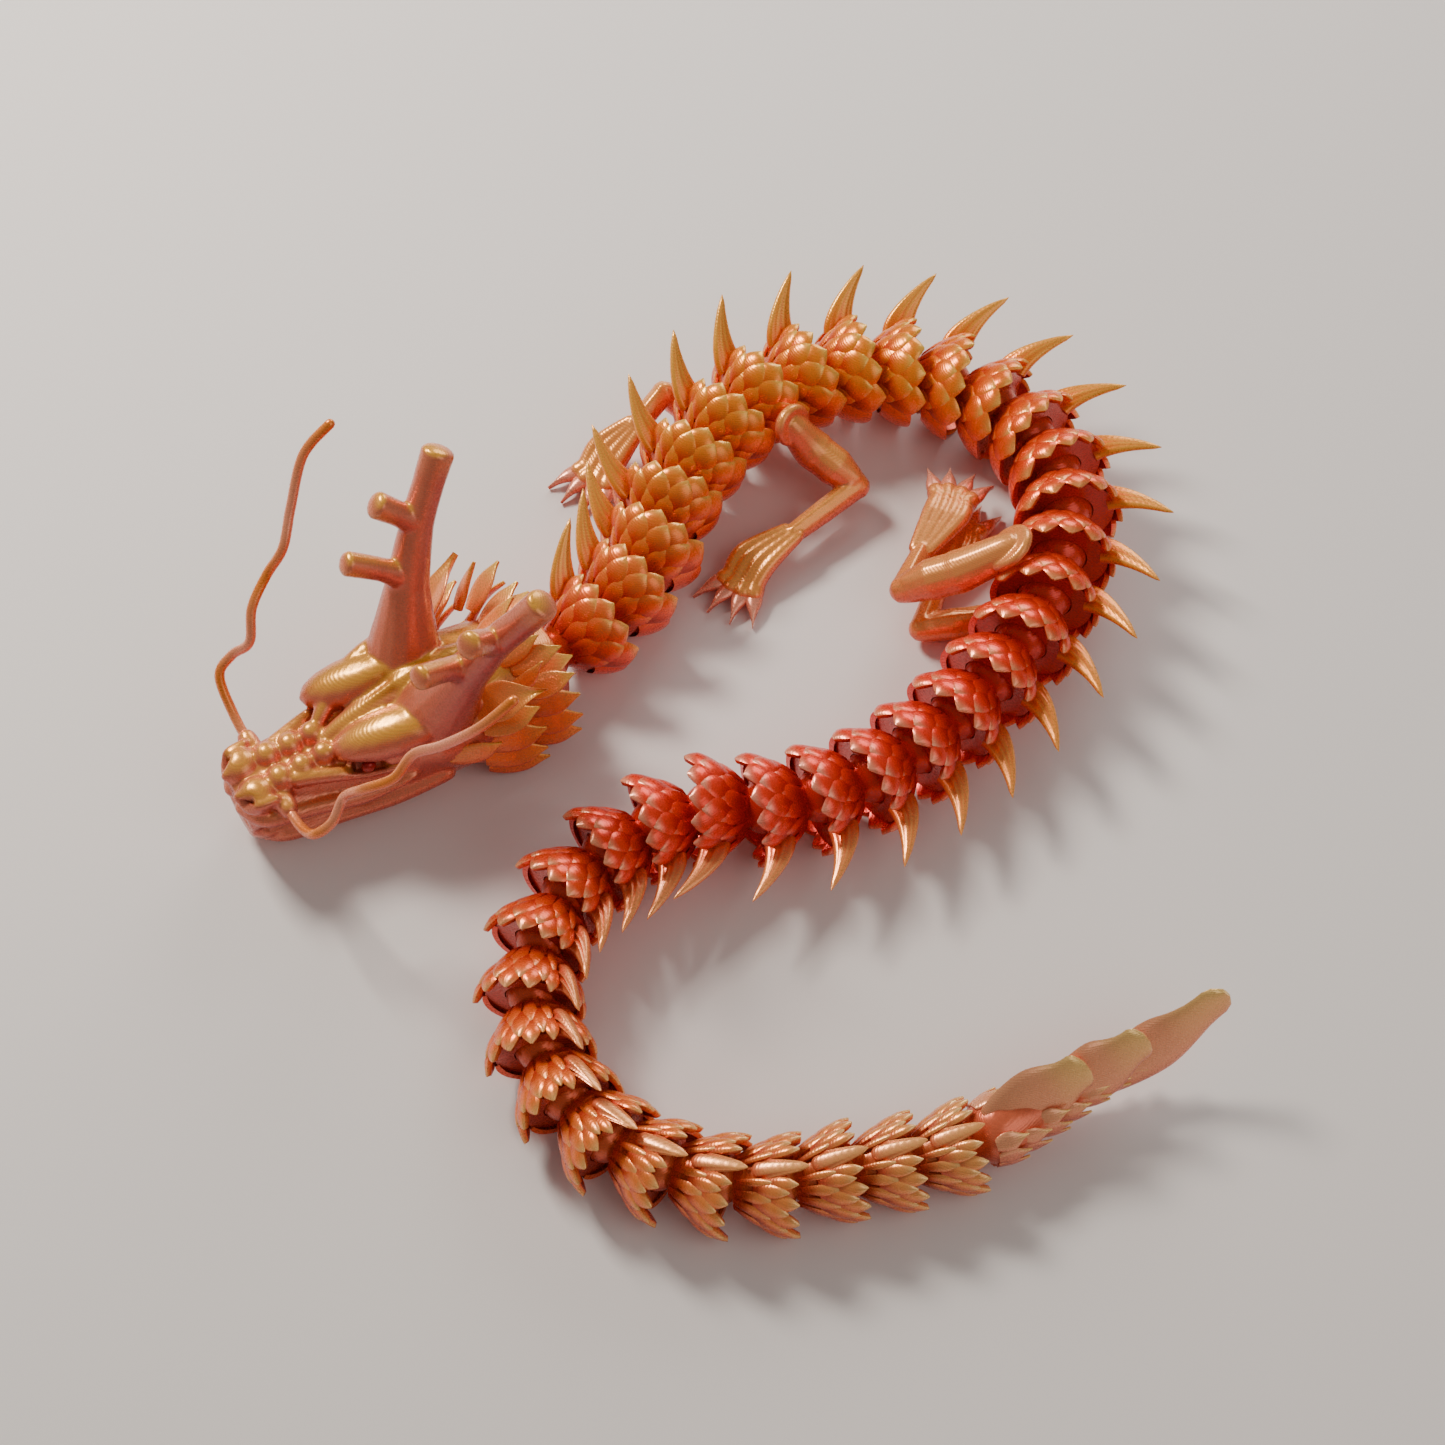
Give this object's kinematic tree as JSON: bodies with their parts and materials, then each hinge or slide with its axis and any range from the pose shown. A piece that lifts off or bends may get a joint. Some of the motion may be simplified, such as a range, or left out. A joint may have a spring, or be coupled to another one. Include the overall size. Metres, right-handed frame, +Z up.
{
  "type": "articulated dragon toy",
  "caption": "Flexible dragon toy lying in a loose coil: antlered head with swivelling whiskers, ball-jointed scaly links with dorsal spines, pivoting clawed legs and a finned tail.",
  "frame": {"origin": "centre of the bounding box on the floor the toy lies on", "axes": "+Z up from the floor; +Y along the longer side of the coil; the head looks towards -X and -Y"},
  "size_m": [0.2602, 0.2867, 0.0879],
  "materials": {
    "head": "silk two-tone",
    "front_body": "silk two-tone",
    "rear_body": "silk two-tone",
    "tail": "silk two-tone",
    "leg": "silk two-tone",
    "whisker": "silk two-tone"
  },
  "bodies": {
    "head": {"head": "head"},
    "whisker_left": {"whisker_left": "whisker"},
    "whisker_right": {"whisker_right": "whisker"},
    "link_01": {"link_01": "front_body"},
    "link_02": {"link_02": "front_body"},
    "link_03": {"link_03": "front_body"},
    "link_04": {"link_04": "front_body"},
    "link_05": {"link_05": "front_body"},
    "link_06": {"link_06": "front_body"},
    "link_07": {"link_07": "front_body"},
    "link_08": {"link_08": "front_body"},
    "link_09": {"link_09": "front_body"},
    "link_10": {"link_10": "front_body"},
    "link_11": {"link_11": "front_body"},
    "link_12": {"link_12": "front_body"},
    "link_13": {"link_13": "front_body"},
    "link_14": {"link_14": "rear_body"},
    "link_15": {"link_15": "rear_body"},
    "link_16": {"link_16": "rear_body"},
    "link_17": {"link_17": "rear_body"},
    "link_18": {"link_18": "rear_body"},
    "link_19": {"link_19": "rear_body"},
    "link_20": {"link_20": "rear_body"},
    "link_21": {"link_21": "rear_body"},
    "link_22": {"link_22": "rear_body"},
    "link_23": {"link_23": "rear_body"},
    "link_24": {"link_24": "rear_body"},
    "link_25": {"link_25": "rear_body"},
    "link_26": {"link_26": "rear_body"},
    "link_27": {"link_27": "rear_body"},
    "link_28": {"link_28": "rear_body"},
    "link_29": {"link_29": "rear_body"},
    "link_30": {"link_30": "rear_body"},
    "link_31": {"link_31": "tail"},
    "link_32": {"link_32": "tail"},
    "link_33": {"link_33": "tail"},
    "link_34": {"link_34": "tail"},
    "link_35": {"link_35": "tail"},
    "link_36": {"link_36": "tail"},
    "link_37": {"link_37": "tail"},
    "link_38": {"link_38": "tail"},
    "link_39": {"link_39": "tail"},
    "tail_tip": {"tail_tip": "tail"},
    "leg_front_left": {"leg_front_left": "leg"},
    "leg_front_right": {"leg_front_right": "leg"},
    "leg_rear_left": {"leg_rear_left": "leg"},
    "leg_rear_right": {"leg_rear_right": "leg"}
  },
  "joints": [
    {"name": "bend_00", "type": "hinge", "parent": "link_01", "child": "head", "pos_m": [-0.04557, 0.0186, 0.01516], "axis": [0, 0, 1], "range_deg": [-10, 26]},
    {"name": "bend_01", "type": "hinge", "parent": "link_02", "child": "link_01", "pos_m": [-0.03391, 0.02804, 0.01524], "axis": [0, 0, 1], "range_deg": [-7, 29]},
    {"name": "bend_02", "type": "hinge", "parent": "link_03", "child": "link_02", "pos_m": [-0.02427, 0.03953, 0.01542], "axis": [0, 0, 1], "range_deg": [-7, 28]},
    {"name": "bend_03", "type": "hinge", "parent": "link_04", "child": "link_03", "pos_m": [-0.01701, 0.05263, 0.0163], "axis": [0, 0, 1], "range_deg": [-7, 22]},
    {"name": "bend_04", "type": "hinge", "parent": "link_05", "child": "link_04", "pos_m": [-0.0124, 0.06684, 0.01767], "axis": [0, 0, 1], "range_deg": [-26, 10]},
    {"name": "bend_05", "type": "hinge", "parent": "link_06", "child": "link_05", "pos_m": [-0.00585, 0.08026, 0.01904], "axis": [0, 0, -1], "range_deg": [-10, 26]},
    {"name": "bend_06", "type": "hinge", "parent": "link_07", "child": "link_06", "pos_m": [0.00253, 0.09267, 0.01992], "axis": [0, 0, -1], "range_deg": [-10, 26]},
    {"name": "bend_07", "type": "hinge", "parent": "link_08", "child": "link_07", "pos_m": [0.01256, 0.10382, 0.02], "axis": [0, 0, -1], "range_deg": [-3, 33]},
    {"name": "bend_08", "type": "hinge", "parent": "link_09", "child": "link_08", "pos_m": [0.02513, 0.11198, 0.01928], "axis": [0, 0, -1], "range_deg": [-3, 33]},
    {"name": "bend_09", "type": "hinge", "parent": "link_10", "child": "link_09", "pos_m": [0.03934, 0.1166, 0.01791], "axis": [0, 0, -1], "range_deg": [-3, 33]},
    {"name": "bend_10", "type": "hinge", "parent": "link_11", "child": "link_10", "pos_m": [0.05425, 0.11738, 0.01654], "axis": [0, 0, -1], "range_deg": [-1, 35]},
    {"name": "bend_11", "type": "hinge", "parent": "link_12", "child": "link_11", "pos_m": [0.06878, 0.11376, 0.01567], "axis": [0, 0, -1], "range_deg": [-1, 35]},
    {"name": "bend_12", "type": "hinge", "parent": "link_13", "child": "link_12", "pos_m": [0.08164, 0.10603, 0.0156], "axis": [0, 0, 1], "range_deg": [-35, 1]},
    {"name": "bend_13", "type": "hinge", "parent": "link_14", "child": "link_13", "pos_m": [0.09166, 0.0949, 0.01632], "axis": [0, 0, 1], "range_deg": [-35, 1]},
    {"name": "bend_14", "type": "hinge", "parent": "link_15", "child": "link_14", "pos_m": [0.09798, 0.08135, 0.01754], "axis": [0, 0, 1], "range_deg": [-35, 1]},
    {"name": "bend_15", "type": "hinge", "parent": "link_16", "child": "link_15", "pos_m": [0.10006, 0.06654, 0.01876], "axis": [0, 0, 1], "range_deg": [-35, 1]},
    {"name": "bend_16", "type": "hinge", "parent": "link_17", "child": "link_16", "pos_m": [0.09772, 0.05175, 0.01949], "axis": [0, 0, 1], "range_deg": [-27, 8]},
    {"name": "bend_17", "type": "hinge", "parent": "link_18", "child": "link_17", "pos_m": [0.09308, 0.03748, 0.01942], "axis": [0, 0, 1], "range_deg": [-27, 9]},
    {"name": "bend_18", "type": "hinge", "parent": "link_19", "child": "link_18", "pos_m": [0.08629, 0.02414, 0.01855], "axis": [0, 0, 1], "range_deg": [-27, 9]},
    {"name": "bend_19", "type": "hinge", "parent": "link_20", "child": "link_19", "pos_m": [0.07751, 0.01205, 0.01718], "axis": [0, 0, -1], "range_deg": [-12, 24]},
    {"name": "bend_20", "type": "hinge", "parent": "link_20", "child": "link_21", "pos_m": [0.06751, 0.00095, 0.01581], "axis": [0, 0, 1], "range_deg": [-12, 24]},
    {"name": "bend_21", "type": "hinge", "parent": "link_21", "child": "link_22", "pos_m": [0.05638, -0.00907, 0.01494], "axis": [0, 0, 1], "range_deg": [-12, 24]},
    {"name": "bend_22", "type": "hinge", "parent": "link_22", "child": "link_23", "pos_m": [0.04425, -0.01788, 0.01476], "axis": [0, 0, 1], "range_deg": [-7, 29]},
    {"name": "bend_23", "type": "hinge", "parent": "link_23", "child": "link_24", "pos_m": [0.03065, -0.02422, 0.01469], "axis": [0, 0, 1], "range_deg": [-7, 29]},
    {"name": "bend_24", "type": "hinge", "parent": "link_24", "child": "link_25", "pos_m": [0.0161, -0.02785, 0.01461], "axis": [0, 0, 1], "range_deg": [-7, 29]},
    {"name": "bend_25", "type": "hinge", "parent": "link_25", "child": "link_26", "pos_m": [0.00112, -0.02864, 0.01454], "axis": [0, 0, 1], "range_deg": [-33, 3]},
    {"name": "bend_26", "type": "hinge", "parent": "link_26", "child": "link_27", "pos_m": [-0.01314, -0.03327, 0.01425], "axis": [0, 0, -1], "range_deg": [-3, 33]},
    {"name": "bend_27", "type": "hinge", "parent": "link_27", "child": "link_28", "pos_m": [-0.02572, -0.04144, 0.01395], "axis": [0, 0, -1], "range_deg": [-3, 33]},
    {"name": "bend_28", "type": "hinge", "parent": "link_28", "child": "link_29", "pos_m": [-0.03576, -0.05258, 0.01365], "axis": [0, 0, -1], "range_deg": [-1, 35]},
    {"name": "bend_29", "type": "hinge", "parent": "link_29", "child": "link_30", "pos_m": [-0.04209, -0.06618, 0.01336], "axis": [0, 0, -1], "range_deg": [-1, 35]},
    {"name": "bend_30", "type": "hinge", "parent": "link_30", "child": "link_31", "pos_m": [-0.04418, -0.08103, 0.01306], "axis": [0, 0, -1], "range_deg": [-1, 35]},
    {"name": "bend_31", "type": "hinge", "parent": "link_31", "child": "link_32", "pos_m": [-0.04183, -0.09584, 0.01277], "axis": [0, 0, -1], "range_deg": [-1, 35]},
    {"name": "bend_32", "type": "hinge", "parent": "link_32", "child": "link_33", "pos_m": [-0.03526, -0.10932, 0.01247], "axis": [0, 0, -1], "range_deg": [-1, 35]},
    {"name": "bend_33", "type": "hinge", "parent": "link_33", "child": "link_34", "pos_m": [-0.02503, -0.12029, 0.01218], "axis": [0, 0, 1], "range_deg": [-35, 1]},
    {"name": "bend_34", "type": "hinge", "parent": "link_34", "child": "link_35", "pos_m": [-0.01204, -0.12779, 0.01188], "axis": [0, 0, 1], "range_deg": [-32, 4]},
    {"name": "bend_35", "type": "hinge", "parent": "link_35", "child": "link_36", "pos_m": [0.00237, -0.13192, 0.01158], "axis": [0, 0, 1], "range_deg": [-32, 4]},
    {"name": "bend_36", "type": "hinge", "parent": "link_36", "child": "link_37", "pos_m": [0.01736, -0.13244, 0.01129], "axis": [0, 0, 1], "range_deg": [-32, 4]},
    {"name": "bend_37", "type": "hinge", "parent": "link_37", "child": "link_38", "pos_m": [0.03203, -0.12933, 0.01099], "axis": [0, 0, 1], "range_deg": [-16, 20]},
    {"name": "bend_38", "type": "hinge", "parent": "link_38", "child": "link_39", "pos_m": [0.0468, -0.12672, 0.0107], "axis": [0, 0, 1], "range_deg": [-23, 13]},
    {"name": "bend_39", "type": "hinge", "parent": "link_39", "child": "tail_tip", "pos_m": [0.06128, -0.12284, 0.0104], "axis": [0, 0, 1], "range_deg": [-30, 6]},
    {"name": "leg_front_left_pivot", "type": "hinge", "parent": "link_07", "child": "leg_front_left", "pos_m": [0.02157, 0.09258, 0.02516], "axis": [0.6971, -0.6301, 0.342], "range_deg": [-5, 45]},
    {"name": "leg_front_right_pivot", "type": "hinge", "parent": "link_07", "child": "leg_front_right", "pos_m": [0.00912, 0.10393, 0.00509], "axis": [-0.1256, 0.12, -0.9848], "range_deg": [-18, 45]},
    {"name": "leg_rear_left_pivot", "type": "hinge", "parent": "link_17", "child": "leg_rear_left", "pos_m": [0.08416, 0.04274, 0.02991], "axis": [-0.6617, 0.2113, 0.7193], "range_deg": [-8, 8]},
    {"name": "leg_rear_right_pivot", "type": "hinge", "parent": "link_17", "child": "leg_rear_right", "pos_m": [0.09, 0.04097, 0.00543], "axis": [-0.2607, 0.0896, -0.9613], "range_deg": [-35, 20]},
    {"name": "whisker_left_swivel", "type": "hinge", "parent": "head", "child": "whisker_left", "pos_m": [-0.11062, -0.0304, 0.02265], "axis": [0.4939, -0.822, 0.2835], "range_deg": [-45, 45]},
    {"name": "whisker_right_swivel", "type": "hinge", "parent": "head", "child": "whisker_right", "pos_m": [-0.11938, -0.01583, 0.02265], "axis": [-0.4939, 0.822, 0.2835], "range_deg": [-45, 45]}
  ]
}
